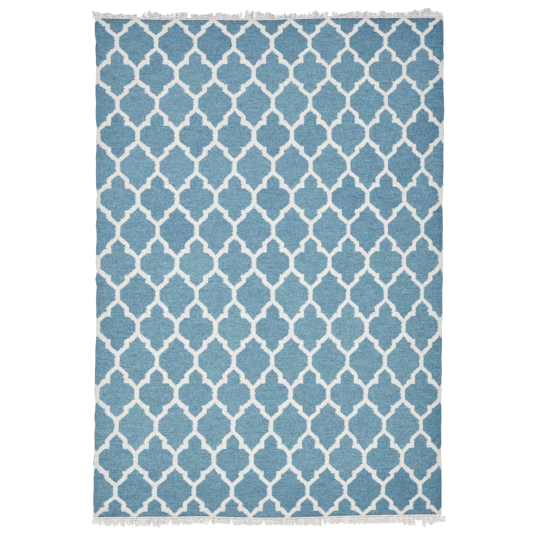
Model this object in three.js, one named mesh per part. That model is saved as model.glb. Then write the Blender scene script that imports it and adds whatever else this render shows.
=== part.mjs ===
// A flat-woven wool rug, 160 by 230 cm, with a short cotton fringe at each end.
// Millimetres, +Z up. It lies flat: the underside is at z = 0, its length runs along Y,
// and its origin is under the middle of its outline, fringe included.

import * as THREE from "three";

// The woven field: blue wool weft packed over cotton warps, with the cream lattice woven in
const CLOTH_THICKNESS = 4;
const EDGE_ROUNDING = 1.2; // how far the selvedges and ends turn in at the top and the bottom
const SELVEDGE_STEPS = 28; // straight stretches along one long side
const END_STEPS = 20; // straight stretches along one short side

// The end bands and their fringe: the warps, left long past the last pick and cut unevenly
const BAND_PARTING = 0.3; // between the field's last wool pick and the cotton band
const BAND_WIDTH = 7;
const BAND_THICKNESS = 3.2;
const STRANDS_PER_END = 150;
const STRAND_ROOT_WIDTH = 6;
const STRAND_WAIST_WIDTH = 4.4;
const STRAND_TIP_WIDTH = 2.4;
const STRAND_TIP_THICKNESS = 1.8;
const WAIST_AT = 0.55; // of a strand's reach
const WAIST_LEAN = 0.42; // of a strand's lean: the rest of it comes beyond the waist
const GATHER = 0.14; // how far a strand's tip is drawn toward the middle of its tuft
const LENGTH_UNEVENNESS = 0.1; // of a strand's reach
const LEAN_UNEVENNESS = 0.9;

// Where the long sides run, from the top end down: the weaver drew in and let out the width.
const SELVEDGES = [
  { along: 1090, left: -801, right: 802 },
  { along: 1000, left: -799, right: 802 },
  { along: 725, left: -797, right: 805 },
  { along: 540, left: -795, right: 803 },
  { along: 260, left: -795, right: 799 },
  { along: 0, left: -796, right: 799 },
  { along: -200, left: -798, right: 797 },
  { along: -380, left: -800, right: 795 },
  { along: -565, left: -801, right: 793 },
  { along: -750, left: -804, right: 792 },
  { along: -930, left: -807, right: 793 },
  { along: -1080, left: -809, right: 793 },
];

// Where the first and the last wool pick lie, from the left side to the right one.
const ENDS = [
  { across: -740, top: 1148, bottom: -1147 },
  { across: -590, top: 1144, bottom: -1146 },
  { across: -410, top: 1141, bottom: -1145 },
  { across: -300, top: 1142, bottom: -1143 },
  { across: -180, top: 1140, bottom: -1147 },
  { across: -30, top: 1140, bottom: -1150 },
  { across: 70, top: 1143, bottom: -1149 },
  { across: 200, top: 1147, bottom: -1146 },
  { across: 330, top: 1150, bottom: -1142 },
  { across: 480, top: 1150, bottom: -1138 },
  { across: 740, top: 1151, bottom: -1135 },
];

const CORNERS = {
  topLeft: { across: -802, along: 1149 },
  topRight: { across: 802, along: 1150 },
  bottomRight: { across: 793, along: -1135 },
  bottomLeft: { across: -810, along: -1148 },
};

// The fringe's tufts, from left to right: how far across a tuft's roots go, how far its strands
// reach beyond the band, and how far sideways their tips lie.
const TOP_TUFTS = [
  { to: -792, reach: 30, lean: -9 },
  { to: -704, reach: 17, lean: 3 },
  { to: -636, reach: 15, lean: 5 },
  { to: -590, reach: 17, lean: -3 },
  { to: -566, reach: 20, lean: 0 },
  { to: -484, reach: 25, lean: 4 },
  { to: -462, reach: 17, lean: -2 },
  { to: -440, reach: 26, lean: 0 },
  { to: -371, reach: 24, lean: 3 },
  { to: -311, reach: 20, lean: -4 },
  { to: -262, reach: 21, lean: 3 },
  { to: -205, reach: 25, lean: -3 },
  { to: -134, reach: 19, lean: 3 },
  { to: -66, reach: 29, lean: -2 },
  { to: -20, reach: 28, lean: 4 },
  { to: 38, reach: 25, lean: -4 },
  { to: 120, reach: 19, lean: 2 },
  { to: 195, reach: 18, lean: -3 },
  { to: 272, reach: 24, lean: 4 },
  { to: 322, reach: 21, lean: -4 },
  { to: 356, reach: 17, lean: 2 },
  { to: 448, reach: 23, lean: 4 },
  { to: 504, reach: 24, lean: -3 },
  { to: 563, reach: 22, lean: 4 },
  { to: 628, reach: 23, lean: 0 },
  { to: 680, reach: 25, lean: 5 },
  { to: 746, reach: 37, lean: 7 },
  { to: 810, reach: 24, lean: -5 },
];

const BOTTOM_TUFTS = [
  { to: -772, reach: 25, lean: -12 },
  { to: -718, reach: 33, lean: 3 },
  { to: -662, reach: 32, lean: -3 },
  { to: -622, reach: 34, lean: 2 },
  { to: -541, reach: 35, lean: 4 },
  { to: -488, reach: 35, lean: -3 },
  { to: -450, reach: 27, lean: -4 },
  { to: -408, reach: 32, lean: 2 },
  { to: -275, reach: 30, lean: -4 },
  { to: -176, reach: 29, lean: 3 },
  { to: -110, reach: 27, lean: 4 },
  { to: -23, reach: 29, lean: -3 },
  { to: 60, reach: 31, lean: 3 },
  { to: 148, reach: 30, lean: 5 },
  { to: 244, reach: 33, lean: 3 },
  { to: 286, reach: 26, lean: -3 },
  { to: 380, reach: 29, lean: 4 },
  { to: 470, reach: 31, lean: 5 },
  { to: 560, reach: 29, lean: 4 },
  { to: 620, reach: 31, lean: 6 },
  { to: 660, reach: 36, lean: 7 },
  { to: 706, reach: 24, lean: 3 },
  { to: 761, reach: 38, lean: 6 },
  { to: 772, reach: 27, lean: 10 },
  { to: 782, reach: 26, lean: 17 },
  { to: 793, reach: 22, lean: 27 },
];

const wool = new THREE.MeshStandardMaterial({
  color: "#7499ac",
  roughness: 0.95,
  metalness: 0,
});
const cotton = new THREE.MeshStandardMaterial({
  color: "#dedcd6",
  roughness: 0.95,
  metalness: 0,
});

const point = ({ across, along }) => new THREE.Vector2(across, along);

// One side of the field as a smooth line through the stations, corner to corner.
function side(from, stations, to) {
  return new THREE.SplineCurve([point(from), ...stations, point(to)]);
}

const topEdge = side(
  CORNERS.topLeft,
  ENDS.map((row) => new THREE.Vector2(row.across, row.top)),
  CORNERS.topRight,
);
const bottomEdge = side(
  CORNERS.bottomLeft,
  ENDS.map((row) => new THREE.Vector2(row.across, row.bottom)),
  CORNERS.bottomRight,
);
const leftEdge = side(
  CORNERS.bottomLeft,
  SELVEDGES.map((row) => new THREE.Vector2(row.left, row.along)).reverse(),
  CORNERS.topLeft,
);
const rightEdge = side(
  CORNERS.bottomRight,
  SELVEDGES.map((row) => new THREE.Vector2(row.right, row.along)).reverse(),
  CORNERS.topRight,
);

// The field's outline, anticlockwise from the bottom left corner, each corner once.
function fieldOutline() {
  const withoutLast = (points) => points.slice(0, -1);
  return [
    ...withoutLast(bottomEdge.getSpacedPoints(END_STEPS)),
    ...withoutLast(rightEdge.getSpacedPoints(SELVEDGE_STEPS)),
    ...withoutLast(topEdge.getSpacedPoints(END_STEPS).reverse()),
    ...withoutLast(leftEdge.getSpacedPoints(SELVEDGE_STEPS).reverse()),
  ];
}

// The outline drawn in by a distance, each point along the middle of its two sides' normals.
function drawnIn(outline, distance) {
  return outline.map((here, i) => {
    const before = outline.at(i - 1);
    const after = outline[(i + 1) % outline.length];
    const along = after.clone().sub(before).normalize();
    return new THREE.Vector2(-along.y, along.x).multiplyScalar(distance).add(here);
  });
}

// A closed skin: rings over each other from the floor up, and tiles that fill the lowest and
// the highest ring. Rings and tiles are loops in plan, anticlockwise, each with its heights.
function closedSkin(rings, tiles) {
  const corners = [];
  const fan = ([first, ...rest]) =>
    rest.slice(1).forEach((corner, i) => corners.push(first, rest[i], corner));
  const lifted = (loop, heightAt) => loop.map((p) => new THREE.Vector3(p.x, p.y, heightAt(p)));
  for (let level = 1; level < rings.length; level += 1) {
    const [low, high] = rings.slice(level - 1, level + 1).map((r) => lifted(r.loop, r.heightAt));
    low.forEach((_, i) => {
      const next = (i + 1) % low.length;
      fan([low[i], low[next], high[next], high[i]]);
    });
  }
  for (const tile of tiles) {
    fan(lifted(tile, rings[0].heightAt).reverse());
    fan(lifted(tile, rings.at(-1).heightAt));
  }
  const geometry = new THREE.BufferGeometry().setFromPoints(corners);
  geometry.computeVertexNormals();
  return geometry;
}

// A grid of tiles inside a loop that starts at its bottom left corner and has `across` steps
// on its short sides and `along` steps on its long ones.
function gridTiles(loop, across, along) {
  const [bottomRight, topRight, topLeft] = [across, across + along, across + along + across];
  const between = (from, to, share) => from.clone().lerp(to, share);
  const inside = (i, j) => {
    const [s, t] = [i / across, j / along];
    const rows = between(loop[i], loop[topLeft - i], t);
    const columns = between(loop.at(-j), loop[bottomRight + j], s);
    const low = between(loop[0], loop[bottomRight], s);
    const high = between(loop[topLeft], loop[topRight], s);
    return rows.add(columns).sub(between(low, high, t));
  };
  const corner = (i, j) => {
    if (j === 0) return loop[i];
    if (j === along) return loop[topLeft - i];
    if (i === 0) return loop.at(-j);
    if (i === across) return loop[bottomRight + j];
    return inside(i, j);
  };
  const tiles = [];
  for (let i = 0; i < across; i += 1) {
    for (let j = 0; j < along; j += 1) {
      tiles.push([corner(i, j), corner(i + 1, j), corner(i + 1, j + 1), corner(i, j + 1)]);
    }
  }
  return tiles;
}

// The field is one flat solid whose edges turn in above and below.
function fieldGeometry() {
  const outline = fieldOutline();
  const inner = drawnIn(outline, EDGE_ROUNDING);
  const rings = [
    { loop: inner, heightAt: () => 0 },
    { loop: outline, heightAt: () => EDGE_ROUNDING },
    { loop: outline, heightAt: () => CLOTH_THICKNESS - EDGE_ROUNDING },
    { loop: inner, heightAt: () => CLOTH_THICKNESS },
  ];
  return closedSkin(rings, gridTiles(inner, END_STEPS, SELVEDGE_STEPS));
}

// A repeatable unevenness from -1 to 1: trait is 0 for a strand's reach and 1 for its lean.
const uneven = (strand, trait) => 2 * THREE.MathUtils.seededRandom(2 * strand + trait) - 1;

// Where each strand's root lies across the band, how far it reaches and how far it leans.
function strandsOf(tufts, left, right) {
  const pitch = (right - left) / STRANDS_PER_END;
  return Array.from({ length: STRANDS_PER_END }, (_, i) => {
    const root = left + (i + 0.5) * pitch;
    const index = tufts.findIndex((tuft) => root <= tuft.to);
    const { to, reach, lean } = tufts[index];
    const from = index === 0 ? left : tufts[index - 1].to;
    const gathered = ((from + to) / 2 - root) * GATHER;
    return {
      root,
      reach: reach * (1 + LENGTH_UNEVENNESS * uneven(i, 0)),
      lean: lean + gathered + LEAN_UNEVENNESS * uneven(i, 1),
    };
  });
}

// How far along Y an edge lies at a place across the rug.
function edgeAt(points, across) {
  const ahead = points.findIndex((p) => p.x >= across);
  const i = ahead < 0 ? points.length - 1 : Math.max(1, ahead);
  const [a, b] = [points[i - 1], points[i]];
  return THREE.MathUtils.mapLinear(across, a.x, b.x, a.y, b.y);
}

// An end band with its strands, level with the floor below and falling to the tips above.
// outward is 1 at the top end and -1 at the bottom end.
function fringeGeometry(edge, tufts, outward) {
  const points = edge.getSpacedPoints(END_STEPS);
  const place = (x, beyond, from = x) =>
    new THREE.Vector2(x, edgeAt(points, from) + outward * (BAND_PARTING + beyond));
  const [left, right] = [points[0].x, points.at(-1).x];
  const strands = strandsOf(tufts, left, right).map(({ root, reach, lean }) => {
    const ring = (share, drift, width) =>
      [-width / 2, width / 2].map((aside) =>
        place(root + lean * drift + aside, BAND_WIDTH + reach * share, root),
      );
    const rings = [
      ring(0, 0, STRAND_ROOT_WIDTH),
      ring(WAIST_AT, WAIST_LEAN, STRAND_WAIST_WIDTH),
      ring(1, 1, STRAND_TIP_WIDTH),
    ];
    return { inner: place(root, 0), rings };
  });
  const [first, last] = [left, right].map((x) => [place(x, 0), place(x, BAND_WIDTH)]);

  const tiles = [];
  let [inner, outer] = first;
  for (const strand of strands) {
    const [[rootLeft, rootRight]] = strand.rings;
    tiles.push([inner, strand.inner, rootLeft, outer]);
    tiles.push([strand.inner, rootRight, rootLeft]);
    strand.rings.slice(1).forEach(([nextLeft, nextRight], i) => {
      const [hereLeft, hereRight] = strand.rings[i];
      tiles.push([hereLeft, hereRight, nextRight, nextLeft]);
    });
    [inner, outer] = [strand.inner, rootRight];
  }
  tiles.push([inner, ...last, outer]);

  const comb = strands.flatMap(({ rings }) => [
    ...rings.map(([leftCorner]) => leftCorner),
    ...rings.map(([, rightCorner]) => rightCorner).reverse(),
  ]);
  const outline = [first[0], ...strands.map((s) => s.inner), ...last, ...comb.reverse(), first[1]];
  const wound = (loop) => (outward > 0 ? loop : loop.toReversed());
  const longest = Math.max(...tufts.map((tuft) => tuft.reach));
  const upperFace = ({ x, y }) => {
    const beyond = (y - edgeAt(points, x)) * outward - BAND_PARTING - BAND_WIDTH;
    const share = THREE.MathUtils.clamp(beyond / longest, 0, 1);
    return THREE.MathUtils.lerp(BAND_THICKNESS, STRAND_TIP_THICKNESS, share);
  };
  const rings = [
    { loop: wound(outline), heightAt: () => 0 },
    { loop: wound(outline), heightAt: upperFace },
  ];
  return closedSkin(rings, tiles.map(wound));
}

function named(name, geometry, material) {
  const mesh = new THREE.Mesh(geometry, material);
  mesh.name = name;
  return mesh;
}

const rug = new THREE.Group();
rug.add(named("woven_field", fieldGeometry(), wool));
rug.add(named("fringe_top", fringeGeometry(topEdge, TOP_TUFTS, 1), cotton));
rug.add(named("fringe_bottom", fringeGeometry(bottomEdge, BOTTOM_TUFTS, -1), cotton));

// The origin goes under the middle of the outline.
const middle = new THREE.Box3().setFromObject(rug).getCenter(new THREE.Vector3());
rug.position.set(-middle.x, -middle.y, 0);

const part = new THREE.Group();
part.add(rug);

export default part;
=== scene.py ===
"""A flat-woven wool rug, blue with a cream trellis, lying flat with a short cotton fringe at each end.

Metres, +Z up. The rug's length runs along Y, with the photograph's upper end at +Y.
"""

import math
import random

import bpy
import numpy as np
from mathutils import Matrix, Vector


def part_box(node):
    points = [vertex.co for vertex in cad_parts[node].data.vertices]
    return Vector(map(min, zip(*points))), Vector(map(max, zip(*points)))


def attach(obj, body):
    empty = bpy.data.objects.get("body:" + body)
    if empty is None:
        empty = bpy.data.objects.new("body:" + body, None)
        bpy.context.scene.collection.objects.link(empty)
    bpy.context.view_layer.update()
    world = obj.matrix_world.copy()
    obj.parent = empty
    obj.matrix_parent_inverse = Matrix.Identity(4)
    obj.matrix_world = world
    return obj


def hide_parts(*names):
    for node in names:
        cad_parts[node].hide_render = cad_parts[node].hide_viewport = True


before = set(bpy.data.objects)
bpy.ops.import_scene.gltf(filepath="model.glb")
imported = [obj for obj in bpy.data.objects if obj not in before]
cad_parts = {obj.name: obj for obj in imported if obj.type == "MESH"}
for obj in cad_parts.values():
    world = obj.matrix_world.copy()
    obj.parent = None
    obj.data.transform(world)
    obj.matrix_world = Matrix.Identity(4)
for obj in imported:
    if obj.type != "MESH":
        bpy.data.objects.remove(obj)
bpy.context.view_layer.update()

MM = 0.001

# The photograph: square on from above, its middle a little off the rug's
PHOTO_PIXELS = 540
MM_PER_PIXEL = 4.602
PHOTO_MIDDLE = Vector((3.8, -13.3, 4.0)) * MM
LENS_MM = 100
SENSOR_MM = 36

# The trellis: where its upright bars stand, in mm from the middle of the rug. The weaver's rows
# crept up and down by a few mm from one side to the other, and the columns from end to end. A
# measuring script found the bars in the photograph and fitted a line through each row and column:
# these are its values, moved by up to 4 mm, with the outermost columns added by hand.
ROWS = (
    {"left": 1040, "middle": 1030, "right": 1047},
    {"left": 883, "middle": 893, "right": 911},
    {"left": 747, "middle": 758, "right": 771},
    {"left": 607, "middle": 606, "right": 624},
    {"left": 462, "middle": 462, "right": 478},
    {"left": 316, "middle": 317, "right": 326},
    {"left": 164, "middle": 171, "right": 177},
    {"left": 15, "middle": 20, "right": 31},
    {"left": -127, "middle": -128, "right": -117},
    {"left": -273, "middle": -283, "right": -270},
    {"left": -431, "middle": -431, "right": -433},
    {"left": -583, "middle": -584, "right": -585},
    {"left": -732, "middle": -730, "right": -725},
    {"left": -885, "middle": -885, "right": -878},
    {"left": -1032, "middle": -1031, "right": -1020},
)
# From the first and the last row to the ones that the rug's ends cut off
ROW_ABOVE = 128
ROW_BELOW = 135
COLUMNS = (
    {"top": -790, "middle": -788, "bottom": -798},
    {"top": -701, "middle": -696, "bottom": -708},
    {"top": -612, "middle": -604, "bottom": -618},
    {"top": -521, "middle": -514, "bottom": -527},
    {"top": -428, "middle": -425, "bottom": -434},
    {"top": -341, "middle": -334, "bottom": -347},
    {"top": -255, "middle": -245, "bottom": -258},
    {"top": -163, "middle": -160, "bottom": -171},
    {"top": -73, "middle": -70, "bottom": -84},
    {"top": 13, "middle": 18, "bottom": 2},
    {"top": 99, "middle": 104, "bottom": 90},
    {"top": 185, "middle": 191, "bottom": 176},
    {"top": 272, "middle": 277, "bottom": 263},
    {"top": 360, "middle": 364, "bottom": 350},
    {"top": 446, "middle": 451, "bottom": 434},
    {"top": 535, "middle": 537, "bottom": 524},
    {"top": 620, "middle": 621, "bottom": 608},
    {"top": 705, "middle": 704, "bottom": 694},
    {"top": 790, "middle": 787, "bottom": 780},
)

# The weaver's chart of one repeat, from a bar of an even row down to the next even row: which
# warps the cream line covers at each pick, counted sideways from that bar. A half cell is
# 20 warps wide and a row is 22 picks deep. Each warp of the chart stands for two woven ones. Each
# pick stands for about three and is drawn as two lines of stitches, because single ones are finer
# than the picture can show.
WARPS_PER_COLUMN = 20
PICKS_PER_ROW = 22
STITCHES_PER_WARP = 2
STITCHES_PER_PICK = 2
PICKS_PER_REPEAT = 2 * PICKS_PER_ROW
LOOM_ROUNDS = 3  # after which a place on the loom hardly moves
CHART_MARGIN = 2  # warps past either column, where an edge of the line may lie
CHART_WARPS = WARPS_PER_COLUMN + 2 * CHART_MARGIN
INNER_EDGE = (
    # pick, warp
    (0, -2),
    (4.7, -1),
    (5.5, -0.1),
    (9.0, 5.9),
    (9.7, 6.75),
    (14.0, 6.75),
    (14.9, 6.7),
    (15.1, 11.4),
    (18.2, 16.7),
    (18.8, 17.5),
    (25.5, 17.45),
    (29.9, 9.8),
    (30.1, 6.9),
    (34.1, 6.9),
    (38.1, -0.1),
    (38.9, -1),
    (44, -2),
)
OUTER_EDGE = (
    (0, 2.35),
    (3.4, 2.35),
    (8.2, 10.9),
    (9.0, 11.5),
    (11.9, 11.6),
    (12.1, 13.7),
    (13.2, 15.7),
    (14.2, 16.7),
    (16.8, 20.2),
    (17.2, 22),
    (27.4, 22),
    (27.7, 20.2),
    (29.7, 17.9),
    (31.9, 14.2),
    (32.1, 11.9),
    (35.3, 11.8),
    (35.6, 10.9),
    (40.5, 2.35),
    (44, 2.35),
)
# The lines are woven broader on the left than on the right, and the last one runs out to the selvedge
CHART_HALF_WIDTH = 10.3  # mm
HALF_WIDTHS = (
    # column, mm
    (0, 10.0),
    (9.5, 10.2),
    (11.5, 9.5),
    (18.06, 9.1),
    (18.11, 13.5),
)
# Warps that a cream line's left edge and its right edge jump from one line of stitches to the next
LEFT_SERRATION = 0.85
RIGHT_SERRATION = 0.35
EDGE_SOFTNESS = 0.15  # warps over which the fibres of the two colours mingle

# The cloth
FIELD_LOW, FIELD_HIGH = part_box("woven_field")
CLOTH_THICKNESS = FIELD_HIGH.z - FIELD_LOW.z
SIDE_DEPTH = 30 * MM  # how far in from the field's box the points of one side may lie
GRID_STEP = 10 * MM
SELVEDGE_WOBBLE = {"left": 3.6 * MM, "right": 2.1 * MM}  # how far the weaver's edges stray
WOBBLE_STEP = 35 * MM
WOBBLE_SEED = 9347  # of 20,000 seeds, the one whose edges lie nearest the photograph's
LIFT = 0.9 * MM  # how far the cloth's slight waves stand off the floor
# Where the edge's cross-section turns: mm in from the edge, and height as a share of the cloth's
SELVEDGE_PROFILE = ((0, 0.5), (0.4, 0.84), (1.3, 1.07), (2.8, 1.13), (5.0, 1.06), (8.0, 1.0))
END_PROFILE = ((0, 0.5), (0.4, 0.8), (1.3, 0.97), (2.8, 1.0), (5.0, 1.0), (8.0, 1.0))
# Where the baked image holds the cloth's upper face, and its lower face at less than half the size
UPPER_BAKE = {"corner": (0.004, 0.004), "size": (0.696, 0.992)}
LOWER_BAKE = {"corner": (0.715, 0.004), "size": (0.281, 0.406)}

# The wool's last pick isn't straight: the cotton of the end band covers this much of it, and
# less at the lower end
RAGGED_END = {"from_mm": -5.5, "to_mm": 6.9, "less_below_mm": 1.1, "tufts_per_warp": 0.45}
RAGGED_SOFTNESS = 0.3  # mm

# How the wool's dye varies, and the painted shade on it: the blue was dyed in small lots, so that
# it is deeper toward the top, the right and the last hand's breadth of the lower end. A narrow
# darker line along each end, and the darkening of both colours toward the edges, are painted shade
DYE_RANGE = 0.63  # how much darker the deepest blue is than the palest
USUAL_DYE = 0.29
PATCH_DYE = 0.052  # how far the dye of a single patch strays
WEFT_LOT_DYE = 0.033  # how far the dye of all the patches along one row strays
PATCH_SEED = 7
DEEPER_EDGES_AND_END_SHADE = (
    {"side": "top", "deeper": 0.11, "fades_mm": 70},
    {"side": "top", "deeper": 0.11, "fades_mm": 450},
    {"side": "right", "deeper": 0.12, "fades_mm": 420},
    {"side": "right", "deeper": 0.08, "fades_mm": 50},
    {"side": "left", "deeper": 0.08, "fades_mm": 100},
    {"side": "bottom", "deeper": 0.04, "fades_mm": 60},
    # Painted shade: a narrow darker line along each end, where the cloth turns down to the band
    {"side": "top", "deeper": 0.15, "fades_mm": 4},
    {"side": "bottom", "deeper": 0.15, "fades_mm": 4},
)
LOWER_LOT = {"deeper": 0.11, "from_mm": 250, "to_mm": 150}
GREENER_LOT = {"from_y_mm": 280, "to_y_mm": -40}  # toward the lower end the blue is a little greener
# Painted shade on both colours: darker toward each side, where the light falls off
PAINTED_EDGE_SHADE = (
    {"side": "left", "darker": 0.075, "fades_mm": 130},
    {"side": "right", "darker": 0.115, "fades_mm": 160},
    {"side": "bottom", "darker": 0.05, "fades_mm": 80},
    {"side": "top", "darker": 0.07, "fades_mm": 40},
)
# Painted shade along the selvedges, where the doubled warps shade the yarn
PAINTED_SELVEDGE_SHADE = {"darker": 0.055, "from_mm": 30, "to_mm": 12}

# The fringe
LOCKS_PER_END = 168
OFF_FLOOR = 0.1 * MM
BAND_HEIGHT = 2.3 * MM
BAND_PICKS = 4
PICK_RELIEF = 0.4 * MM
STEPS_PER_PICK = 4
SECTIONS_PER_LOCK = 4
SECTION_DIP = 0.1  # how much lower every other cross-section of the band is, as a share
WEB_START = {"out": 0.4 * MM, "height": 0.9 * MM}  # of the web between the knots, beyond the band
WEB_END_HEIGHT = 0.6 * MM
KNOT_LENGTH = 4.2 * MM
KNOT_WIDTH = 4.6 * MM
KNOT_HEIGHT = 3.0 * MM
KNOT_SLANT = 0.8 * MM
KNOT_BLUNTNESS = 0.04  # above 0, so that a knot's two ends aren't points
KNOT_RINGS = 6
KNOT_SIDES = 8
YARNS_PER_LOCK = 4
YARN_GAP = 2.3 * MM
YARN_RADIUS = 1.35 * MM
YARN_TAPER = 0.2
TIP_TAPER = 0.5  # of a yarn's radius, at its cut end
YARN_RINGS = 20
YARN_SIDES = 5
HELD_SHARE = 0.25  # of a yarn's length, next to the knot, over which it can't sway freely yet
LEAN_BEND = 1.4  # above 1, so that a yarn leaves its knot straight and leans more toward its tip
SWAY_TURNS = ((0.7, 1.6), (1.8, 3.2))  # how often a yarn's two waves turn along its length
SWAY_WIDTH = 2.4 * MM
HOOK_ASIDE = 4 * MM
HOOK_BACK = 3 * MM
CRIMP_PITCH = 11 * MM  # the bends that the weave left in a warp end, drawn longer so that they show
CRIMP_DEPTH = 0.95 * MM
CRIMP_SWAY = 1.6 * MM
WISPS_PER_YARN = 2
WISP_LENGTHS = (3 * MM, 8 * MM)
WISP_RADIUS = 0.28 * MM
WISP_TAPER = 0.6
WISP_SINK = 0.3  # of its yarn's height, that a loose fibre falls
WISP_TURN = 0.8  # radians to either side of its yarn's heading
WISP_RINGS = 3
WISP_SIDES = 3
PARTING_SPREAD = 8  # mm on either side of a parting's tips over which the strands make way
BARE_MARGIN = 2  # mm of a parting's roots, on either side, that a lock still covers
# How the locks and yarns of one fringe differ, as shares of their usual length or girth
LOCK_LENGTH_USUAL = 1.05
LOCK_LENGTH_MOST = 1.15
YARN_LENGTHS = (0.9, 1.04)
YARN_GIRTHS = (0.85, 1.1)
KNOT_PLACES = (0.15, 0.45)  # in knot lengths beyond the band
KNOT_HALVES = (0.4, 0.6)  # half a knot's length, in knot lengths
BEND_STRAY = 0.12  # of a crimp's pitch, between the yarns of one lock
# Dust and painted shade: how the dust differs along the band, from lock to lock and from yarn to yarn,
# and how much darker a crimped yarn's hollows are than its bends, from dust and painted shade
BAND_SOILS = (0.3, 1.7)
# Painted shade, with some dust: the web between the knots lies in their shade
WEB_SOIL_AND_SHADE = 0.6
LOCK_SOILS = (0.1, 2.1)
YARN_SOILS = (0.6, 1.4)
KNOT_SOIL = 0.5
HOLLOW_DUST_AND_SHADE = {"least": 0.1, "more": 3.3, "sharpness": 4}
# Along each end, in mm: how far the strands reach beyond the cloth, and how far sideways they lean
TOP_REACH = (
    # place, reach, lean
    (-808, -8, -14),
    (-803, 40, -12),
    (-792, 36, -6),
    (-784, 27, -2),
    (-730, 24, 3),
    (-660, 21, 3),
    (-612, 24, -6),
    (-578, 32, 0),
    (-532, 43, 2),
    (-490, 26, -2),
    (-468, 28, 0),
    (-450, 29, 0),
    (-424, 37, 0),
    (-406, 43, 0),
    (-385, 38, 2),
    (-352, 31, -4),
    (-312, 27, -3),
    (-250, 29, 3),
    (-229, 35, 0),
    (-200, 28, -3),
    (-145, 29, -3),
    (-106, 51, 2),
    (-90, 35, 0),
    (-75, 48, 0),
    (-50, 46, 0),
    (-32, 32, 3),
    (-4, 36, -2),
    (30, 22, -4),
    (100, 26, 2),
    (158, 20, 0),
    (195, 27, -2),
    (212, 38, 2),
    (230, 21, 0),
    (262, 27, 4),
    (300, 30, -3),
    (318, 21, 0),
    (355, 21, 2),
    (375, 31, 2),
    (412, 31, 0),
    (429, 22, 2),
    (443, 32, 3),
    (495, 20, -3),
    (515, 33, 2),
    (560, 26, 2),
    (625, 27, 0),
    (645, 25, 2),
    (666, 37, 4),
    (682, 28, 4),
    (698, 38, 6),
    (715, 42, 8),
    (734, 43, 4),
    (752, 33, -3),
    (766, 40, -2),
    (785, 31, 0),
    (811, 13, -4),
)
BOTTOM_REACH = (
    (-806, 26, -12),
    (-795, 31, -11),
    (-770, 39, -6),
    (-750, 41, 2),
    (-704, 43, -2),
    (-676, 43, 2),
    (-640, 37, 3),
    (-600, 43, 2),
    (-560, 40, -3),
    (-508, 49, 2),
    (-472, 33, -3),
    (-447, 43, -2),
    (-420, 38, -3),
    (-380, 36, 4),
    (-310, 35, 3),
    (-262, 36, -3),
    (-205, 30, 0),
    (-160, 38, 3),
    (-50, 34, 4),
    (-10, 37, -3),
    (150, 36, 4),
    (236, 43, 3),
    (262, 34, 0),
    (350, 38, 3),
    (510, 41, 5),
    (550, 36, 4),
    (590, 39, 4),
    (640, 49, 6),
    (668, 50, 7),
    (678, 24, 4),
    (698, 27, 0),
    (707, 58, 2),
    (726, 40, 2),
    (744, 53, 3),
    (764, 33, 8),
    (778, 36, 6),
    (785, 37, 10),
    (789, 35, 14),
    (791, 30, 18),
    (793, 21, 21),
    (795, 12, 22),
    (798, 2, 22),
)
# Where the strands part, in mm: the place, and how wide the parting is at the tips and at the roots
TOP_PARTINGS = (
    # place, tips, roots
    (-767, 6, 0),
    (-594, 22, 12),
    (-566, 9, 5),
    (-475, 12, 7),
    (-457, 10, 6),
    (-437, 10, 5),
    (-366, 14, 8),
    (-120, 11, 6),
    (-67, 10, 4),
    (35, 12, 4),
    (282, 22, 12),
    (503, 11, 6),
    (633, 11, 6),
)
BOTTOM_PARTINGS = (
    (-759, 10, 0),
    (-722, 8, 0),
    (-690, 10, 0),
    (-661, 10, 0),
    (-620, 6, 0),
    (-541, 12, 0),
    (-453, 17, 3),
    (-405, 10, 0),
    (-272, 18, 0),
    (-175, 16, 3),
    (-25, 18, 3),
    (247, 9, 7),
    (672, 8, 0),
    (703, 8, 0),
)
YELLOWING_SPREAD = 0.3  # how far a lock's cotton may be yellower or whiter than its fringe's
# The upper fringe is shorter and has curled and greyed; the lower one lies nearly straight and
# has yellowed a little
TOP_FRINGE = {
    "name": "top",
    "outward": 1,
    "reach": TOP_REACH,
    "partings": TOP_PARTINGS,
    "corner_locks": (-804.5,),
    "band_width": 4.5 * MM,
    "curl": 1.0,
    "shortest": 0.65,
    "root_spread": 0.7,
    "tip_spread": (0.5, 1.2),
    "stray": 2.8 * MM,
    "most_lift": 3.0 * MM,
    "soil_and_shade": 0.14,
    "tip_soil": 1.3,
    "yellowed": 0.33,
}
BOTTOM_FRINGE = {
    "name": "bottom",
    "outward": -1,
    "reach": BOTTOM_REACH,
    "partings": BOTTOM_PARTINGS,
    "corner_locks": (789, 790.5, 791.5, 792.5),
    "band_width": 6.0 * MM,
    "curl": 0.6,
    "shortest": 0.85,
    "root_spread": 0.62,
    "tip_spread": (0.75, 1.15),
    "stray": 2.5 * MM,
    "most_lift": 2.0 * MM,
    "soil_and_shade": 0.135,
    "tip_soil": 0.4,
    "yellowed": 0.62,
}


def linear(hex_colour):
    """An sRGB hex colour as linear red, green, blue and alpha."""
    shares = [int(hex_colour[i : i + 2], 16) / 255 for i in (1, 3, 5)]
    return [s / 12.92 if s <= 0.04045 else ((s + 0.055) / 1.055) ** 2.4 for s in shares] + [1.0]


def add(tree, kind, inputs=(), **settings):
    """Adds a shader node with its own settings, and fills its sockets, named or in their order, with
    values or with other nodes' outputs."""
    node = tree.nodes.new("ShaderNode" + kind)
    for name, value in settings.items():
        setattr(node, name, value)
    for socket, value in inputs.items() if isinstance(inputs, dict) else enumerate(inputs):
        if isinstance(value, bpy.types.Node):
            value = value.outputs[0]
        if isinstance(value, bpy.types.NodeSocket):
            tree.links.new(value, node.inputs[socket])
        else:
            node.inputs[socket].default_value = value
    return node


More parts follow.
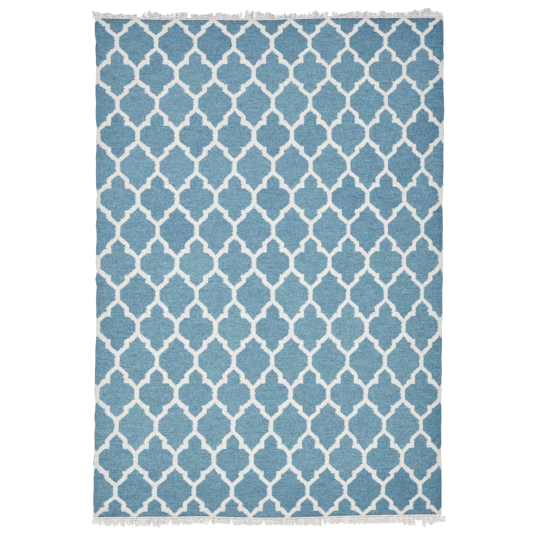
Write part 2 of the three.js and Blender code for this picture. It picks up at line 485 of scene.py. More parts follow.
def new_piece(name, points, faces, material):
    """A smooth mesh object that rides on the rug's one body."""
    mesh = bpy.data.meshes.new(name)
    mesh.from_pydata([tuple(p) for p in points], [], faces)
    mesh.polygons.foreach_set("use_smooth", [True] * len(mesh.polygons))
    mesh.materials.append(material)
    piece = bpy.data.objects.new(name, mesh)
    bpy.context.scene.collection.objects.link(piece)
    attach(piece, "root")
    return piece


def keep_values(piece, name, values):
    """Keeps one number for each of a piece's points, for its material to read."""
    attribute = piece.data.attributes.new(name, "FLOAT", "POINT")
    attribute.data.foreach_set("value", np.asarray(values, dtype=np.float32))


def smooth_step(value, start, end):
    """Rises from 0 at start to 1 at end, level at both."""
    share = np.clip((value - start) / (end - start), 0, 1)
    return share * share * (3 - 2 * share)


# Camera


def set_camera():
    """Looks straight down from where the photograph's width just fits."""
    camera = bpy.data.objects.new("camera", bpy.data.cameras.new("camera"))
    camera.data.lens = LENS_MM
    camera.data.sensor_width = SENSOR_MM
    seen = PHOTO_PIXELS * MM_PER_PIXEL * MM
    distance = seen * LENS_MM / SENSOR_MM
    camera.location = PHOTO_MIDDLE + Vector((0, 0, distance))
    camera.data.clip_end = 10 * distance
    bpy.context.scene.collection.objects.link(camera)
    bpy.context.scene.camera = camera


# The woven cloth


class Outline:
    """The field's four sides, read from the CAD node: where each lies, at a place along it. Between
    their ends the two selvedges stray a little more, as a weaver's do."""

    def __init__(self):
        points = np.array([v.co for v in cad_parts["woven_field"].data.vertices])
        low, high = points.min(0), points.max(0)
        rim = points[np.abs(points[:, 2] - points[:, 2].mean()) < CLOTH_THICKNESS / 3]
        self.sides = {}
        for name, axis, end in (
            ("left", 0, low),
            ("right", 0, high),
            ("bottom", 1, low),
            ("top", 1, high),
        ):
            side = rim[np.abs(rim[:, axis] - end[axis]) < SIDE_DEPTH]
            side = side[np.argsort(side[:, 1 - axis])]
            self.sides[name] = (side[:, 1 - axis], side[:, axis])
        chance = np.random.default_rng(WOBBLE_SEED)
        for name, most in SELVEDGE_WOBBLE.items():
            places, edge = self.sides[name]
            along = np.linspace(places[0], places[-1], round(np.ptp(places) / WOBBLE_STEP))
            strays = chance.uniform(-most, most, len(along))
            strays[[0, -1]] = 0
            self.sides[name] = (along, np.interp(along, places, edge) + strays)

    def at(self, name, place):
        return np.interp(place, *self.sides[name])

    def distance(self, name, x, y):
        """How far inside one side the points lie."""
        if name in ("left", "right"):
            return np.abs(x - self.at(name, y))
        return np.abs(y - self.at(name, x))


def steps_between(low, high, profile):
    """Places from low to high: close together at both edges, as the profile says, and even between."""
    edge = [inset * MM for inset, _ in profile]
    inner = np.linspace(low + edge[-1], high - edge[-1], round((high - low) / GRID_STEP))
    return np.array([low + e for e in edge[:-1]] + list(inner) + [high - e for e in edge[-2::-1]])


def heights_of(profile, count):
    """The profile's heights at the steps between two edges."""
    shares = np.array([share for _, share in profile])
    from_edge = np.minimum(np.arange(count), np.arange(count)[::-1])
    return shares[np.minimum(from_edge, len(shares) - 1)]


def waves(x, y):
    """The slight waves of a rug that lies flat, from 0 to 1: broad ones about a metre long, and finer
    ones that slant across them."""
    broad = np.sin(x * 7.1 + 1.3 * np.sin(y * 3.3 + 0.4)) * np.sin(y * 5.3 + 0.8 * np.sin(x * 4.1 + 2.0))
    fine = np.sin(x * 17.0 + y * 5.0 + 0.7) * np.sin(y * 13.0 - x * 3.0 + 2.1)
    return np.clip(0.5 + 0.35 * broad + 0.15 * fine, 0, 1)


def quadratic(share, first, middle, last):
    """A smooth line through three values, at share 0, one half and 1."""
    return (
        first * (2 * (share - 0.5) * (share - 1))
        + middle * (4 * share * (1 - share))
        + last * (2 * share * (share - 0.5))
    )


def place_on(scale, value):
    """Where each value falls on its own row of an ascending scale, counted in steps."""
    index = np.clip((scale <= value[:, None]).sum(1) - 1, 0, scale.shape[1] - 2)
    here = np.take_along_axis(scale, index[:, None], 1)[:, 0]
    after = np.take_along_axis(scale, index[:, None] + 1, 1)[:, 0]
    return index + (value - here) / (after - here)


def loom_places(x, y):
    """Each point's place on the loom: how many columns from the first and rows from the first."""
    x, y = x / MM, y / MM
    rows = [[row[side] for row in ROWS] for side in ("left", "middle", "right")]
    rows = np.array([[r[0] + ROW_ABOVE, *r, r[-1] - ROW_BELOW] for r in rows])
    columns = np.array([[column[end] for column in COLUMNS] for end in ("top", "middle", "bottom")])
    last_row, last_column = len(ROWS) - 1, len(COLUMNS) - 1
    # Columns drift with the row and rows with the column, so each is found again from the other
    row = np.full(len(x), last_row / 2)
    for _ in range(LOOM_ROUNDS):
        column_places = quadratic((row / last_row)[:, None], *columns[:, None, :])
        column = place_on(column_places, x)
        row_places = -quadratic((column / last_column)[:, None], *rows[:, None, :])
        row = place_on(row_places, -y) - 1
    return column, row


def chart_place(column, row):
    """The warp and the pick at a place on the loom, counted from one column and two rows before the
    first, so that neither is negative."""
    return (column + 1) * WARPS_PER_COLUMN, (row + 2) * PICKS_PER_ROW


def patch_dye(warp, pick):
    """How far the dye strays in each patch of blue: each was woven from a bobbin of its own."""
    in_repeat = pick % PICKS_PER_REPEAT
    inner, outer = (np.interp(in_repeat, *zip(*edge)) for edge in (INNER_EDGE, OUTER_EDGE))
    bar_pitch = 2 * WARPS_PER_COLUMN
    from_bar = np.abs((warp + WARPS_PER_COLUMN) % bar_pitch - WARPS_PER_COLUMN)
    below_bar = from_bar < (inner + outer) / 2
    bars, repeats = warp / bar_pitch, pick / PICKS_PER_REPEAT
    across = np.where(below_bar, 2 * np.round(bars), 2 * np.floor(bars) + 1)
    along = np.where(below_bar, 2 * np.floor(repeats) + 1, 2 * np.round(repeats))
    chance = np.random.default_rng(PATCH_SEED)
    patches = chance.normal(0, PATCH_DYE, (len(COLUMNS) + 3, len(ROWS) + 4))
    patches += chance.normal(0, WEFT_LOT_DYE, (1, len(ROWS) + 4))
    return patches[across.astype(int), along.astype(int)]


def depth_of_dye_and_end_shade(outline, x, y, warp, pick):
    """How deep the blue is at each point, from 0 to 1, with a narrow line of painted shade at each end.
    """
    darker = np.zeros(len(x))
    for edge in DEEPER_EDGES_AND_END_SHADE:
        inside = outline.distance(edge["side"], x, y) / MM
        darker += edge["deeper"] * np.exp(-inside / edge["fades_mm"])
    inside = outline.distance("bottom", x, y) / MM
    darker += LOWER_LOT["deeper"] * smooth_step(inside, LOWER_LOT["from_mm"], LOWER_LOT["to_mm"])
    return np.clip(USUAL_DYE + darker / DYE_RANGE + patch_dye(warp, pick), 0, 1)


def painted_edge_shade(outline, x, y):
    """Painted shade on both colours: darker toward the edges, where light falls off, and at the
    selvedges.
    """
    darker = np.zeros(len(x))
    for edge in PAINTED_EDGE_SHADE:
        inside = outline.distance(edge["side"], x, y) / MM
        darker += edge["darker"] * np.exp(-inside / edge["fades_mm"])
    inside = np.minimum(outline.distance("left", x, y), outline.distance("right", x, y)) / MM
    rim = smooth_step(inside, PAINTED_SELVEDGE_SHADE["from_mm"], PAINTED_SELVEDGE_SHADE["to_mm"])
    return darker + PAINTED_SELVEDGE_SHADE["darker"] * rim


def weave_cloth(outline, material):
    """The cloth as one closed sheet whose upper and lower faces share the edge between them."""
    low, high = FIELD_LOW, FIELD_HIGH
    across = (steps_between(low.x, high.x, SELVEDGE_PROFILE) - low.x) / (high.x - low.x)
    along = (steps_between(low.y, high.y, END_PROFILE) - low.y) / (high.y - low.y)
    s, t = np.meshgrid(across, along)
    y = low.y + t * (high.y - low.y)
    x = outline.at("left", y) * (1 - s) + outline.at("right", y) * s
    y = outline.at("bottom", x) * (1 - t) + outline.at("top", x) * t

    share = np.outer(heights_of(END_PROFILE, len(along)), heights_of(SELVEDGE_PROFILE, len(across)))
    on_rim = np.zeros(x.shape, bool)
    on_rim[[0, -1], :] = on_rim[:, [0, -1]] = True
    share[on_rim] = 0.5
    lift = LIFT * waves(x, y)
    upper = CLOTH_THICKNESS * share + lift
    lower = CLOTH_THICKNESS * (1 - np.minimum(share, 1)) + lift

    upper_index = np.arange(x.size).reshape(x.shape)
    inner_index = np.cumsum(~on_rim.ravel()).reshape(x.shape) - 1
    lower_index = np.where(on_rim, upper_index, x.size + inner_index)
    points = np.concatenate(
        [
            np.stack([x.ravel(), y.ravel(), upper.ravel()], 1),
            np.stack([x[~on_rim], y[~on_rim], lower[~on_rim]], 1),
        ]
    )
    corners = np.stack(
        [
            upper_index[:-1, :-1].ravel(),
            upper_index[:-1, 1:].ravel(),
            upper_index[1:, 1:].ravel(),
            upper_index[1:, :-1].ravel(),
        ],
        1,
    )
    turned = corners[:, ::-1]
    faces = np.concatenate([upper_index.ravel()[corners], lower_index.ravel()[turned]])
    cloth = new_piece("rug_cloth", points, faces.tolist(), material)

    flat = np.stack([s.ravel(), t.ravel()], 1)
    upper_map = UPPER_BAKE["corner"] + flat[corners.ravel()] * UPPER_BAKE["size"]
    lower_map = LOWER_BAKE["corner"] + flat[turned.ravel()] * LOWER_BAKE["size"]
    bake_map = cloth.data.uv_layers.new(name="OFBake")
    bake_map.uv.foreach_set("vector", np.concatenate([upper_map, lower_map]).ravel())
    chart_cloth(cloth, outline, points[:, 0], points[:, 1])
    return cloth


def chart_cloth(cloth, outline, x, y):
    """Keeps with each point its place in the chart, how dyed the wool is there, and its painted shade.
    """
    column, row = loom_places(x, y)
    warp, pick = chart_place(column, row)
    half_width = np.interp(column, *zip(*HALF_WIDTHS))
    column_pitch = (COLUMNS[-1]["middle"] - COLUMNS[0]["middle"]) / (len(COLUMNS) - 1)
    from_top = outline.distance("top", x, y) / MM
    from_bottom = outline.distance("bottom", x, y) / MM
    from_end = np.minimum(from_top, from_bottom + RAGGED_END["less_below_mm"])
    keep_values(cloth, "warp", warp)
    keep_values(cloth, "pick", pick)
    keep_values(cloth, "widened", (half_width - CHART_HALF_WIDTH) * WARPS_PER_COLUMN / column_pitch)
    keep_values(cloth, "dye_and_end_shade", depth_of_dye_and_end_shade(outline, x, y, warp, pick))
    keep_values(cloth, "greener", smooth_step(y / MM, GREENER_LOT["from_y_mm"], GREENER_LOT["to_y_mm"]))
    keep_values(cloth, "soil_and_shade", painted_edge_shade(outline, x, y))
    keep_values(cloth, "from_end", np.minimum(from_end, RAGGED_END["to_mm"] + 1))


# The fringe


class Strands:
    """A mesh in the making: closed tubes, and for each of their points its soil and painted shade, and
    how yellowed it is.
    """

    def __init__(self, yellowed):
        self.points = []
        self.faces = []
        self.soil_and_shade = []
        self.yellowed = []
        self.yellowed_now = yellowed
        self.count = 0

    def add_rings(self, rings, soil_and_shade):
        """Joins rings of points, all of one length, into a closed skin."""
        rings = np.asarray(rings)
        levels, sides, _ = rings.shape
        index = self.count + np.arange(levels * sides).reshape(levels, sides)
        after = np.roll(index, -1, axis=1)
        quads = np.stack([index[:-1], after[:-1], after[1:], index[1:]], 2).reshape(-1, 4)
        self.faces += quads.tolist() + [index[0, ::-1].tolist(), index[-1].tolist()]
        self.points.append(rings.reshape(-1, 3))
        self.soil_and_shade.append(np.broadcast_to(soil_and_shade, (levels, sides)).ravel())
        self.yellowed.append(np.full(levels * sides, self.yellowed_now))
        self.count += levels * sides

    def add_tube(self, path, radii, sides, soil_and_shade):
        """A closed tube round a path that lies more or less level."""
        along = np.gradient(path, axis=0)
        aside = np.cross(along, (0, 0, 1))
        aside /= np.linalg.norm(aside, axis=1)[:, None]
        upward = np.cross(aside, along / np.linalg.norm(along, axis=1)[:, None])
        angles = (2 * math.pi * np.arange(sides) / sides)[None, :, None]
        spokes = np.cos(angles) * aside[:, None] + np.sin(angles) * upward[:, None]
        self.add_rings(path[:, None] + np.asarray(radii)[:, None, None] * spokes[:, ::-1], soil_and_shade)


def band_profile(width):
    """The end band's cross-section: how far out and how high, with one bulge for each pick."""
    out = np.linspace(0, width, STEPS_PER_PICK * BAND_PICKS + 1)
    bulge = np.abs(np.sin(np.pi * BAND_PICKS * out / width))
    height = BAND_HEIGHT + PICK_RELIEF * bulge
    height[[0, -1]] = BAND_HEIGHT / 2
    web = [(width + WEB_START["out"], WEB_START["height"]), (width + KNOT_LENGTH, WEB_END_HEIGHT)]
    under = [(width + KNOT_LENGTH, OFF_FLOOR), (0, OFF_FLOOR)]
    return np.concatenate([np.stack([out, height], 1), web, under])


def weave_band(strands, outline, fringe, chance):
    """The last picks of cotton, woven across the warps, and the thin web between the knots, darkened
    with dust and painted shade.
    """
    side, outward = fringe["name"], fringe["outward"]
    left, right = outline.sides[side][0][[0, -1]]
    profile = band_profile(fringe["band_width"])
    stations = np.arange(SECTIONS_PER_LOCK * LOCKS_PER_END + 1)
    x = left + (right - left) * stations / stations[-1]
    rise = np.where(stations % 2 == 0, 1, 1 - SECTION_DIP)
    edge = outline.at(side, x)
    rings = np.zeros((len(x), len(profile), 3))
    rings[:, :, 0] = x[:, None]
    rings[:, :, 1] = edge[:, None] + outward * profile[None, :, 0]
    rings[:, :, 2] = profile[None, :, 1] * rise[:, None]
    dusty_and_shaded = np.broadcast_to(profile[None, :, 0] > fringe["band_width"], rings.shape[:2])
    patchy = np.array([[chance.uniform(*BAND_SOILS)] for _ in x])
    soil_and_shade = patchy * np.where(dusty_and_shaded, WEB_SOIL_AND_SHADE, fringe["soil_and_shade"])
    if outward < 0:
        rings = rings[:, ::-1]
        soil_and_shade = soil_and_shade[:, ::-1]
    strands.add_rings(rings, soil_and_shade)


def tie_knot(strands, place, outward, soil_and_shade, chance):
    """A knot as a short bulging wrap round its lock of warp ends."""
    shares = np.linspace(-1, 1, KNOT_RINGS)
    path = np.zeros((KNOT_RINGS, 3))
    path[:, 0] = place[0] + chance.uniform(-KNOT_SLANT, KNOT_SLANT) * (1 + shares)
    path[:, 1] = place[1] + outward * chance.uniform(*KNOT_HALVES) * KNOT_LENGTH * shares
    path[:, 2] = place[2]
    girth = np.sqrt(np.clip(1 + KNOT_BLUNTNESS - shares * shares, 0, 1))
    angles = 2 * math.pi * np.arange(KNOT_SIDES) / KNOT_SIDES
    rings = np.repeat(path[:, None], KNOT_SIDES, 1)
    rings[:, :, 0] += KNOT_WIDTH / 2 * np.outer(girth, np.cos(angles)) * -outward
    rings[:, :, 2] += KNOT_HEIGHT / 2 * np.outer(girth, np.sin(angles))
    strands.add_rings(rings, soil_and_shade)


def lie_out(tip_aside, reach, curl, lift, first_bend, chance):
    """A yarn's path over the floor from its root: sideways, outward and up, in waves and crimped.
    With it, how dust and painted shade lie along the yarn: in the hollows of its crimp."""
    share = np.linspace(0, 1, YARN_RINGS)
    free = np.minimum(1, share / HELD_SHARE)
    aside = tip_aside * share**LEAN_BEND
    outward = reach * share
    for turns in [chance.uniform(*turns) for turns in SWAY_TURNS]:
        sway = curl * chance.uniform(-1, 1) * SWAY_WIDTH / turns
        aside += sway * np.sin(2 * math.pi * (turns * share + chance.random())) * free
    hook = curl * chance.uniform(-1, 1)
    aside += hook * HOOK_ASIDE * share**4
    outward -= abs(hook) * HOOK_BACK * share**6
    length = math.hypot(tip_aside, reach)
    crimp = 2 * math.pi * (share * length / CRIMP_PITCH + first_bend)
    raised = 0.5 + 0.5 * np.cos(crimp)
    aside += CRIMP_SWAY * np.sin(crimp + chance.random()) * free
    height = lift * np.sin(math.pi * share) + CRIMP_DEPTH * raised
    # Painted shade, with some dust: darker in the hollows of the crimp than on its bends
    dust_and_shade = HOLLOW_DUST_AND_SHADE["least"] + HOLLOW_DUST_AND_SHADE["more"] * (1 - raised) ** HOLLOW_DUST_AND_SHADE["sharpness"]
    return np.stack([aside, outward, height], 1), dust_and_shade


def fray(strands, path, outward, soil_and_shade, chance):
    """The loose fibres at a yarn's cut end."""
    tip = path[-1]
    heading = math.atan2(tip[0] - path[-3][0], outward * (tip[1] - path[-3][1]))
    shares = np.linspace(0, 1, WISP_RINGS)
    for _ in range(WISPS_PER_YARN):
        length = chance.uniform(*WISP_LENGTHS)
        turn = heading + chance.uniform(-WISP_TURN, WISP_TURN) + chance.uniform(-1, 1) * shares
        aside = length * np.sin(turn) * shares
        ahead = length * outward * np.cos(turn) * shares
        wisp = tip + np.stack([aside, ahead, -WISP_SINK * tip[2] * shares], 1)
        strands.add_tube(wisp, WISP_RADIUS * (1 - WISP_TAPER * shares), WISP_SIDES, soil_and_shade)


def part_strands(partings, place):
    """How far a strand rooted at a place is pushed aside by the partings, at its root and its tip."""
    at_root = at_tip = 0
    for middle, tips, roots in partings:
        aside = place / MM - middle
        near = PARTING_SPREAD + tips / 2
        push = math.copysign(max(0, 1 - abs(aside) / near), aside) * MM / 2
        at_tip += tips * push
        at_root += roots * push
    return at_root, at_tip


def is_bare(partings, place):
    """Whether no lock is left at this place."""
    return any(abs(place / MM - middle) < roots / 2 - BARE_MARGIN for middle, _, roots in partings)


def lay_lock(strands, outline, fringe, root, chance):
    """One lock of warp ends: its knot, the yarns beyond it and their loose fibres."""
    outward = fringe["outward"]
    places, reaches, leans = zip(*fringe["reach"])
    soil_and_shade = fringe["soil_and_shade"] * chance.uniform(*LOCK_SOILS)
    strands.yellowed_now = fringe["yellowed"] + chance.uniform(-1, 1) * YELLOWING_SPREAD
    lock_length = chance.triangular(fringe["shortest"], LOCK_LENGTH_MOST, LOCK_LENGTH_USUAL)
    tip_spread = chance.uniform(*fringe["tip_spread"])
    first_bend = chance.random()
    lean = np.interp(root / MM, places, leans) * MM + chance.uniform(-1, 1) * fringe["stray"]
    edge = float(outline.at(fringe["name"], root))
    out = fringe["band_width"] + chance.uniform(*KNOT_PLACES) * KNOT_LENGTH
    knot = np.array([root, edge + outward * out, KNOT_HEIGHT / 2 + OFF_FLOOR])
    tie_knot(strands, knot, outward, KNOT_SOIL * soil_and_shade, chance)
    shares = np.linspace(0, 1, YARN_RINGS)
    for k in range(YARNS_PER_LOCK):
        aside = (k - (YARNS_PER_LOCK - 1) / 2) * YARN_GAP
        at_root, at_tip = part_strands(fringe["partings"], root + aside)
        tip = root + tip_spread * aside + at_tip
        reach = np.interp(tip / MM, places, reaches) * MM * lock_length * chance.uniform(*YARN_LENGTHS)
        tip += lean
        start = root + fringe["root_spread"] * aside + at_root
        lift = chance.uniform(0, 1) * fringe["most_lift"]
        bend = first_bend + chance.uniform(-BEND_STRAY, BEND_STRAY)
        path, dust_and_shade = lie_out(tip - start, reach - out, fringe["curl"], lift, bend, chance)
        path[:, 0] += start
        path[:, 1] = edge + outward * (out + path[:, 1])
        radii = YARN_RADIUS * chance.uniform(*YARN_GIRTHS) * (1 - YARN_TAPER * shares)
        path[:, 2] += radii[0]
        radii[-1] *= TIP_TAPER
        yarn_soil = soil_and_shade * chance.uniform(*YARN_SOILS)
        soil_and_shade_along = yarn_soil * dust_and_shade * (1 + (fringe["tip_soil"] - 1) * shares)
        strands.add_tube(path, radii, YARN_SIDES, soil_and_shade_along[:, None])
        fray(strands, path, outward, yarn_soil * fringe["tip_soil"], chance)


def knot_fringe(outline, fringe, material):
    """One end's cotton: the band, the knots on its edge and the warp ends beyond them."""
    chance = random.Random(fringe["name"])
    strands = Strands(fringe["yellowed"])
    weave_band(strands, outline, fringe, chance)
    left, right = outline.sides[fringe["name"]][0][[0, -1]]
    roots = [left + (i + 0.5) * (right - left) / LOCKS_PER_END for i in range(LOCKS_PER_END)]
    for root in roots + [place * MM for place in fringe["corner_locks"]]:
        if not is_bare(fringe["partings"], root):
            lay_lock(strands, outline, fringe, root, chance)
    name = f"{fringe['name']}_fringe_yarns"
    piece = new_piece(name, np.concatenate(strands.points), strands.faces, material)
    keep_values(piece, "soil_and_shade", np.concatenate(strands.soil_and_shade))
    keep_values(piece, "yellowed", np.concatenate(strands.yellowed))
    return piece


# Materials

RELIEF_WARPS = 2  # of the chart, that a rib of the relief stands for: a real rib is finer than a pixel
STITCH_RELIEF = 0.6  # how high a line of stitches stands, where a rib is 1
UNEVEN_RELIEF = 0.25  # how much higher the highest stitch is than the lowest, where a rib is one half
STITCH_TONE = 0.75  # how much lighter the lightest stitch is than the darkest
SLUB_TONE = 0.19  # how much lighter the thickest slub is than the thinnest thread
SLUB_DYE = 0.52  # how much less dye the thickest slub has taken than the thinnest thread
SLUBS = (0.06, 7.31, 1)  # the noise's steps for one warp and one thread: a slub runs along its thread
WOOL_TINTS = (0.34, 0.23, 0.27)  # how far the wool's own colour strays in red, green and blue
WOOL_TINT_STEPS = (0.055, 0.085, 1)  # the noise's steps for one warp and one pick
CREAM_EVENNESS = 0.15  # how much less the undyed wool strays
CREAM_TONE = 0.38  # how much of the stitches' tone shows on the undyed wool
DYED_TONE = 0.56  # the share of it that is more or less dye; the rest is undyed fibre, which is grey
UNDYED_TONE = 0.125  # how much grey it adds for a tone of 1
END_DUST_AND_SHADE = 0.7  # how much of the last pick's blue is hidden by dust and painted shade
END_DUST_AND_SHADE_REACH = 7.5  # mm
COTTON_TINTS = (0.15, 0.13, 0.15)  # how far the cotton's own colour strays in red, green and blue


def new_material(name):
    """A material and its node tree, still empty."""
    material = bpy.data.materials.new(name)
    material.use_nodes = True
    material.node_tree.nodes.clear()
    return material, material.node_tree


def draw_curve(node, points, pick_span, warp_low, warp_span):
    """Draws a chart's edge into a curve node, from (pick, warp) points, with straight lines."""
    curve = node.mapping.curves[0]
    places = [(pick / pick_span, (warp - warp_low) / warp_span) for pick, warp in points]
    for _ in places[2:]:
        curve.points.new(0, 0)
    for point, place in zip(curve.points, places):
        point.location = place
        point.handle_type = "VECTOR"
    node.mapping.update()


def trellis_mask(tree, warp, pick):
    """1 on the cream lines and 0 on the blue ground, from each point's place in the chart."""
    stitch_height = 1 / STITCHES_PER_PICK
    whole_stitch = add(tree, "Math", (pick, stitch_height), operation="SNAP")
    column = add(tree, "Math", (warp, WARPS_PER_COLUMN), operation="SNAP")
    seed = add(tree, "CombineXYZ", (column, whole_stitch))
    chance = add(tree, "TexWhiteNoise", {"Vector": seed}, noise_dimensions="2D").outputs["Value"]
    wander = add(tree, "Math", (chance, 2, -1), operation="MULTIPLY_ADD")
    from_bar = add(tree, "Math", (warp, WARPS_PER_COLUMN), operation="PINGPONG")
    side_of_bar = add(tree, "Math", (column, 2 * WARPS_PER_COLUMN), operation="MODULO")
    right_of_bar = add(tree, "Math", (side_of_bar, WARPS_PER_COLUMN), operation="DIVIDE")
    stitch_middle = add(tree, "Math", (whole_stitch, stitch_height / 2), operation="ADD")
    in_repeat = add(tree, "Math", (stitch_middle, PICKS_PER_REPEAT), operation="MODULO")
    share = add(tree, "Math", (in_repeat, PICKS_PER_REPEAT), operation="DIVIDE")
    widened = add(tree, "Attribute", attribute_name="widened").outputs["Fac"]
    edges = []
    for chart, sign, jumps in (
        (INNER_EDGE, 1, (LEFT_SERRATION, RIGHT_SERRATION)),
        (OUTER_EDGE, -1, (RIGHT_SERRATION, LEFT_SERRATION)),
    ):
        curve = add(tree, "FloatCurve", {"Value": share})
        draw_curve(curve, chart, PICKS_PER_REPEAT, -CHART_MARGIN, CHART_WARPS)
        edge = add(tree, "Math", (curve, CHART_WARPS, -CHART_MARGIN), operation="MULTIPLY_ADD")
        jump = add(tree, "MapRange", {"Value": right_of_bar, "To Min": jumps[0], "To Max": jumps[1]})
        place = add(tree, "Math", (wander, jump, from_bar), operation="MULTIPLY_ADD")
        inside = add(tree, "Math", (place, edge), operation="SUBTRACT")
        wide_inside = add(tree, "Math", (inside, sign, widened), operation="MULTIPLY_ADD")
        edge_mask = add(
            tree,
            "MapRange",
            {"Value": wide_inside, "From Min": -EDGE_SOFTNESS, "From Max": EDGE_SOFTNESS},
            interpolation_type="SMOOTHSTEP",
        )
        edges.append(edge_mask)
    return add(tree, "Math", edges, operation="MULTIPLY")


def ragged_end(tree, warp, from_end):
    """1 where the cotton of the end band covers the wool's last pick, and 0 on the wool."""
    ragged = add(
        tree,
        "TexNoise",
        {"W": warp, "Scale": RAGGED_END["tufts_per_warp"], "Detail": 2.0, "Roughness": 0.7},
        noise_dimensions="1D",
    )
    least, most = RAGGED_END["from_mm"], RAGGED_END["to_mm"]
    covered = add(tree, "MapRange", {"Value": ragged, "To Min": least, "To Max": most})
    beyond = add(tree, "Math", (covered, from_end), operation="SUBTRACT")
    return add(
        tree, "MapRange", {"Value": beyond, "From Min": -RAGGED_SOFTNESS, "From Max": RAGGED_SOFTNESS}
    )


def uneven_yarn(tree, warp, pick):
    """A random value from 0 to 1 for each stitch, and one about 0 that says how thick its thread is."""
    # A stitch covers one woven warp, and the next warp's stitches lie half a stitch lower
    ribs = add(tree, "Math", (warp, STITCHES_PER_WARP), operation="MULTIPLY")
    rib = add(tree, "Math", (ribs,), operation="FLOOR")
    odd = add(tree, "Math", (rib, 2), operation="MODULO")
    stitches = add(tree, "Math", (pick, STITCHES_PER_PICK), operation="MULTIPLY")
    lowered = add(tree, "Math", (odd, 0.5, stitches), operation="MULTIPLY_ADD")
    stitch = add(tree, "Math", (lowered,), operation="FLOOR")
    seed = add(tree, "CombineXYZ", (rib, stitch))
    uneven = add(tree, "TexWhiteNoise", {"Vector": seed}, noise_dimensions="2D").outputs["Value"]

    # A weft thread is thick and thin, pale and dark along its own length, whatever its neighbours are
    thread = add(tree, "Math", (stitches,), operation="FLOOR")
    threads = add(tree, "CombineXYZ", (warp, thread))
    slub_place = add(tree, "VectorMath", (threads, SLUBS), operation="MULTIPLY")
    slubs = add(
        tree,
        "TexNoise",
        {"Vector": slub_place, "Scale": 1.0, "Detail": 1.0, "Roughness": 0.5},
        noise_dimensions="2D",
    )
    return uneven, add(tree, "Math", (slubs, 0.5), operation="SUBTRACT")


def dyed_wool(tree, mask, slub, from_end):
    """The wool's colour: the cream of the lines, and a blue that is deeper where more dye took and along
    a painted shade line at each end, with dust and painted shade on its last pick.
    """
    dye_and_end_shade, greener = (
        add(tree, "Attribute", attribute_name=name).outputs["Fac"] for name in ("dye_and_end_shade", "greener")
    )
    taken = add(tree, "Math", (slub, -SLUB_DYE, dye_and_end_shade), operation="MULTIPLY_ADD")
    pale = add(tree, "MixRGB", (greener, linear("#799cab"), linear("#799ca9")))
    deep = add(tree, "MixRGB", (greener, linear("#436d89"), linear("#436d87")))
    blue = add(tree, "MixRGB", (taken, pale, deep))
    # Dust and painted shade on the last pick of blue, where it meets the band
    dusty_and_shaded = add(tree, "MapRange", (from_end, END_DUST_AND_SHADE_REACH, 0.0, 0.0, END_DUST_AND_SHADE))
    dusted_and_shaded = add(tree, "MixRGB", (dusty_and_shaded, blue, linear("#6b4f40")))
    return add(tree, "MixRGB", (mask, dusted_and_shaded, linear("#d2d2cf")))


def tints(tree, patches, strays):
    """Colours close to white, from a noise's patches: how far each of red, green and blue strays."""
    darkest = [1 - stray / 2 for stray in strays]
    return add(
        tree, "VectorMath", (patches.outputs["Color"], strays, darkest), operation="MULTIPLY_ADD"
    )


def wool_tints(tree, mask, warp, pick):
    """How the wool's colour strays in patches, less so on the cream."""
    chart = add(tree, "CombineXYZ", (warp, pick))
    place = add(tree, "VectorMath", (chart, WOOL_TINT_STEPS), operation="MULTIPLY")
    patches = add(
        tree,
        "TexNoise",
        {"Vector": place, "Scale": 1.0, "Detail": 4.0, "Roughness": 0.85},
        noise_dimensions="2D",
    )
    evenness = add(tree, "Math", (mask, CREAM_EVENNESS), operation="MULTIPLY")
    return add(tree, "MixRGB", (evenness, tints(tree, patches, WOOL_TINTS), linear("#ffffff")))


def wool_relief(tree, warp, pick, uneven):
    """Ribs over the warps, crossed by the lines of stitches, each stitch a little higher or lower."""
    ribs = add(tree, "Math", (warp, RELIEF_WARPS), operation="DIVIDE")
    rib_height = add(tree, "Math", (ribs, 0.5), operation="PINGPONG")
    stitch_height = add(tree, "Math", (pick, 0.5), operation="PINGPONG")
    even = add(tree, "Math", (stitch_height, STITCH_RELIEF, rib_height), operation="MULTIPLY_ADD")
    height = add(tree, "Math", (uneven, UNEVEN_RELIEF, even), operation="MULTIPLY_ADD")
    return add(tree, "Bump", {"Height": height, "Strength": 0.5, "Distance": 0.8 * MM})


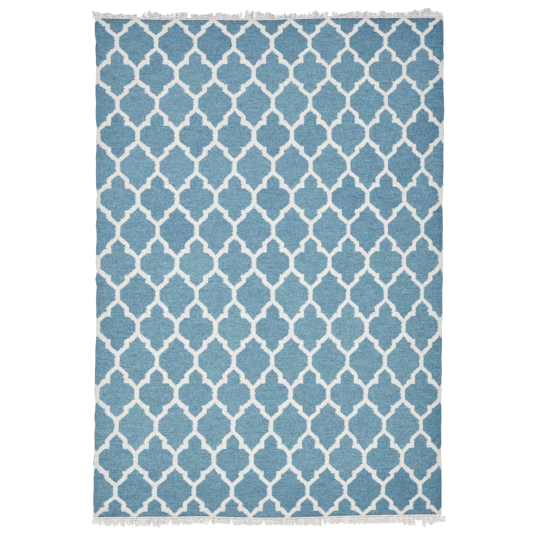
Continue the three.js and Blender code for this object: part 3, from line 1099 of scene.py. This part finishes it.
def wool_weave():
    """Handspun wool weft packed over the warps: hand dyeing and uneven yarn leave the blue
    heathered from stitch to stitch, while the undyed cream is nearly plain. No shine, and close
    ribs of small stitches that take the light unevenly."""
    material, tree = new_material("wool_weave")
    warp, pick, soil_and_shade, from_end = (
        add(tree, "Attribute", attribute_name=name).outputs["Fac"]
        for name in ("warp", "pick", "soil_and_shade", "from_end")
    )
    trellis = trellis_mask(tree, warp, pick)
    mask = add(tree, "Math", (trellis, ragged_end(tree, warp, from_end)), operation="MAXIMUM")
    uneven, slub = uneven_yarn(tree, warp, pick)

    stitch_tone = add(tree, "Math", (uneven, STITCH_TONE, -STITCH_TONE / 2), operation="MULTIPLY_ADD")
    all_tone = add(tree, "Math", (slub, SLUB_TONE, stitch_tone), operation="MULTIPLY_ADD")
    shown = add(tree, "MapRange", {"Value": mask, "To Min": 1.0, "To Max": CREAM_TONE})
    tone = add(tree, "Math", (all_tone, shown), operation="MULTIPLY")
    # Painted shade: both colours darker toward the edges and along the selvedges
    unsoiled_unshaded = add(tree, "Math", (1.0, soil_and_shade), operation="SUBTRACT")
    dyed_tone = add(tree, "Math", (tone, DYED_TONE, 1.0), operation="MULTIPLY_ADD")
    brightness = add(tree, "Math", (dyed_tone, unsoiled_unshaded), operation="MULTIPLY")
    wool = dyed_wool(tree, mask, slub, from_end)
    scaled = add(tree, "VectorMath", {"Vector": wool, "Scale": brightness}, operation="SCALE")
    undyed = add(tree, "Math", (tone, UNDYED_TONE), operation="MULTIPLY")
    toned = add(tree, "VectorMath", (scaled, undyed), operation="ADD")
    strays = wool_tints(tree, mask, warp, pick)
    colour = add(tree, "VectorMath", (toned, strays), operation="MULTIPLY")
    shader = add(
        tree,
        "BsdfPrincipled",
        {
            "Base Color": colour,
            "Roughness": 0.95,
            "Specular IOR Level": 0.2,
            "Sheen Weight": 0.08,
            "Sheen Roughness": 0.6,
            "Normal": wool_relief(tree, warp, pick, uneven),
        },
    )
    add(tree, "OutputMaterial", {"Surface": shader})
    return material


def cotton_warp():
    """Undyed cotton warp yarn, plied and matt: off-white, yellower from lock to lock, greyer where
    dust has settled in it, darker with painted shade between the knots and in the crimps' hollows,
    and with a fine fibrous surface."""
    material, tree = new_material("cotton_warp")
    yellowed, soil_and_shade = (
        add(tree, "Attribute", attribute_name=name).outputs["Fac"] for name in ("yellowed", "soil_and_shade")
    )
    unsoiled_unshaded = add(tree, "MixRGB", (yellowed, linear("#dedfe2"), linear("#e5e2dc")))
    # Soil and painted shade, both toward one dark grey
    soiled_and_shaded = add(tree, "MixRGB", (soil_and_shade, unsoiled_unshaded, linear("#6b6867")))
    place = add(tree, "TexCoord").outputs["Object"]
    patches = add(tree, "TexNoise", {"Vector": place, "Scale": 110.0, "Detail": 1.0})
    strays = tints(tree, patches, COTTON_TINTS)
    colour = add(tree, "VectorMath", (soiled_and_shaded, strays), operation="MULTIPLY")
    fibres = add(tree, "TexNoise", {"Vector": place, "Scale": 900.0, "Detail": 2.0, "Roughness": 0.6})
    bump = add(tree, "Bump", {"Height": fibres, "Strength": 0.4, "Distance": 0.3 * MM})
    shader = add(
        tree,
        "BsdfPrincipled",
        {
            "Base Color": colour,
            "Roughness": 0.95,
            "Specular IOR Level": 0.2,
            "Sheen Weight": 0.05,
            "Sheen Roughness": 0.6,
            "Normal": bump,
        },
    )
    add(tree, "OutputMaterial", {"Surface": shader})
    return material


# Stage

FLOOR_HALF = 30  # half the floor's side
FLOOR_WHITE = 0.99
SOFTBOX_PLACES = (Vector((-1.75, -0.25, 3.8)), Vector((1.45, -0.25, 3.8)))
SOFTBOX_SIZE = 1.4
SOFTBOX_WATTS = 56
DAYLIGHT = 0.66


def set_stage():
    """A pale floor, even daylight and two softboxes above the rug."""
    scene = bpy.context.scene
    scene.view_settings.view_transform = "Standard"
    world = bpy.data.worlds.new("studio")
    world.use_nodes = True
    world.node_tree.nodes["Background"].inputs["Color"].default_value = (1, 1, 1, 1)
    world.node_tree.nodes["Background"].inputs["Strength"].default_value = DAYLIGHT
    scene.world = world

    mesh = bpy.data.meshes.new("floor")
    half = FLOOR_HALF
    corners = [(-half, -half, 0), (half, -half, 0), (half, half, 0), (-half, half, 0)]
    mesh.from_pydata(corners, [], [(0, 1, 2, 3)])
    floor = bpy.data.objects.new("floor", mesh)
    scene.collection.objects.link(floor)
    material = bpy.data.materials.new("floor")
    material.use_nodes = True
    shader = material.node_tree.nodes["Principled BSDF"]
    shader.inputs["Base Color"].default_value = (FLOOR_WHITE, FLOOR_WHITE, FLOOR_WHITE, 1)
    shader.inputs["Roughness"].default_value = 1.0
    mesh.materials.append(material)

    for place in SOFTBOX_PLACES:
        lamp = bpy.data.lights.new("softbox", "AREA")
        lamp.shape = "SQUARE"
        lamp.size = SOFTBOX_SIZE
        lamp.energy = SOFTBOX_WATTS
        softbox = bpy.data.objects.new("softbox", lamp)
        softbox.location = place
        softbox.rotation_mode = "QUATERNION"
        softbox.rotation_quaternion = (-place).to_track_quat("-Z", "Y")
        scene.collection.objects.link(softbox)


set_camera()
set_stage()
outline = Outline()

cloth = weave_cloth(outline, wool_weave())
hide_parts("woven_field")

cotton = cotton_warp()
for fringe in (TOP_FRINGE, BOTTOM_FRINGE):
    yarns = knot_fringe(outline, fringe, cotton)
    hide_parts(f"fringe_{fringe['name']}")
